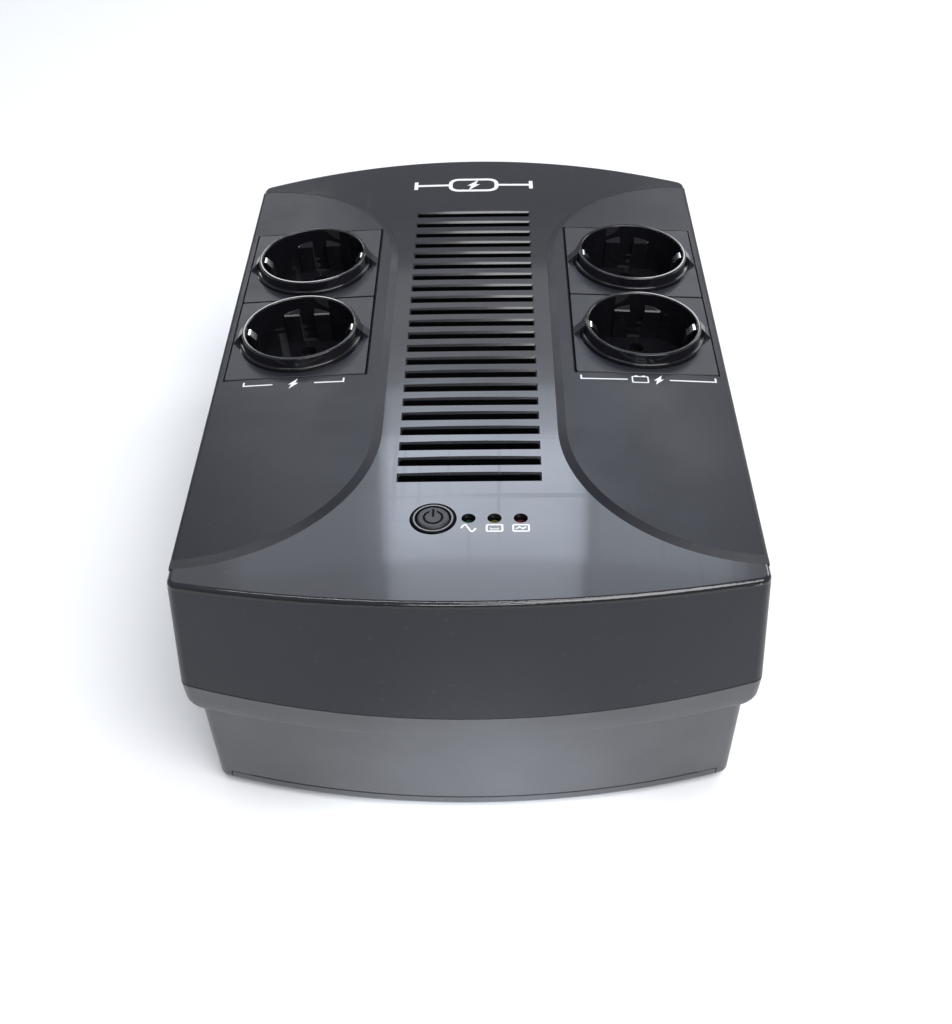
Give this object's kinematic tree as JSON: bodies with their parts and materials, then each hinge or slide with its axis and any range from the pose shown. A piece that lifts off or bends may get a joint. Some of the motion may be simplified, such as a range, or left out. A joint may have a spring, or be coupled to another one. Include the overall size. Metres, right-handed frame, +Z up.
{
  "type": "uninterruptible power supply",
  "caption": "Low desk-type uninterruptible power supply: dark waisted case, glossy vented centre panel, power button, status lights and round earthed outlets on raised wings",
  "frame": {"origin": "centre of the footprint, at the height of the desk the pads stand on", "axes": "+Z up, +Y from the front of the case to its connector side, +X to the right as seen from the front"},
  "size_m": [0.1884, 0.2878, 0.1049],
  "materials": {
    "battery_plastic": "moulded ABS",
    "bezel_black": "gloss black moulding",
    "black_nylon": "black glass-filled nylon",
    "bobbin_nylon": "natural nylon",
    "breaker_cap": "black reset button",
    "button_black": "gloss black moulding with an engraved power symbol",
    "capacitor_sleeve": "shrunk sleeve",
    "chip_black": "moulded epoxy",
    "circuit_board": "green solder mask",
    "contact_brass": "stamped brass",
    "film_epoxy": "dipped epoxy box",
    "foot_rubber": "soft black rubber",
    "fuse_glass": "clear glass tube",
    "gold_contact": "gold flash",
    "heat_sink_aluminium": "mill-finish extrusion",
    "housing_grey": "matt dark grey moulding",
    "lamination_steel": "varnished stacked laminations",
    "lead_black": "PVC insulation",
    "lead_blue": "PVC insulation",
    "lead_brown": "PVC insulation",
    "lead_earth": "PVC insulation",
    "lead_red": "PVC insulation",
    "led_epoxy": "clear epoxy",
    "lens_green": "tinted clear moulding",
    "lens_red": "tinted clear moulding",
    "lens_yellow": "tinted clear moulding",
    "nickel_plate": "nickel plating",
    "outlet_gloss": "gloss black socket insert",
    "panel_gloss": "high-gloss black moulding",
    "relay_plastic": "blue moulded cover",
    "shell_dark": "dark satin moulding with a fine spark-eroded texture",
    "spring_metal": "nickel-plated spring strip",
    "winding_tape": "polyester tape over enamelled wire",
    "zinc_steel": "zinc-plated steel"
  },
  "bodies": {
    "case": {"battery_case": "battery_plastic", "battery_lid": "battery_plastic", "battery_terminals": "nickel_plate", "board_screws": "zinc_steel", "breaker_body": "black_nylon", "breaker_nut": "nickel_plate", "button_bezel": "bezel_black", "buzzer": "chip_black", "case_screws": "zinc_steel", "centre_panel": "panel_gloss", "contact_rails_left": "contact_brass", "contact_rails_right": "contact_brass", "controller_chips": "chip_black", "data_jacks": "black_nylon", "display_board": "circuit_board", "earth_clip_back_left": "spring_metal", "earth_clip_back_right": "spring_metal", "earth_clip_front_left": "spring_metal", "earth_clip_front_right": "spring_metal", "electrolytic_capacitors": "capacitor_sleeve", "feet": "foot_rubber", "film_capacitors": "film_epoxy", "fuse_ends": "nickel_plate", "fuse_glass": "fuse_glass", "heat_sinks": "heat_sink_aluminium", "inlet_pins": "nickel_plate", "jack_contacts": "gold_contact", "lead_black": "lead_black", "lead_blue": "lead_blue", "lead_brown": "lead_brown", "lead_earth": "lead_earth", "lead_red": "lead_red", "light_pipe_green": "lens_green", "light_pipe_red": "lens_red", "light_pipe_yellow": "lens_yellow", "lower_housing": "housing_grey", "main_board": "circuit_board", "mains_inlet": "black_nylon", "outlet_back_left": "outlet_gloss", "outlet_back_right": "outlet_gloss", "outlet_bases": "black_nylon", "outlet_front_left": "outlet_gloss", "outlet_front_right": "outlet_gloss", "power_transistors": "chip_black", "relays": "relay_plastic", "spade_connectors": "nickel_plate", "status_leds": "led_epoxy", "switch_body": "black_nylon", "top_cover": "shell_dark", "transformer_bobbin": "bobbin_nylon", "transformer_bracket": "zinc_steel", "transformer_core": "lamination_steel", "transformer_screws": "zinc_steel", "transformer_winding": "winding_tape", "usb_shell": "nickel_plate", "usb_tongue": "bobbin_nylon"},
    "button": {"power_button": "button_black", "switch_plunger": "black_nylon"},
    "breaker_knob": {"breaker_button": "breaker_cap"},
    "hatch": {"battery_hatch": "housing_grey"}
  },
  "joints": [
    {"name": "power_button_press", "type": "slide", "parent": "case", "child": "button", "axis": [0, 0, -1], "range_m": [0, 0.0015], "stiffness_N_per_m": 600, "springref_m": -0.002},
    {"name": "breaker_trip", "type": "slide", "parent": "case", "child": "breaker_knob", "axis": [0, 1, 0], "range_m": [0, 0.0035]},
    {"name": "hatch_slide", "type": "slide", "parent": "case", "child": "hatch", "axis": [0, -1, 0], "range_m": [0, 0.014]}
  ]
}
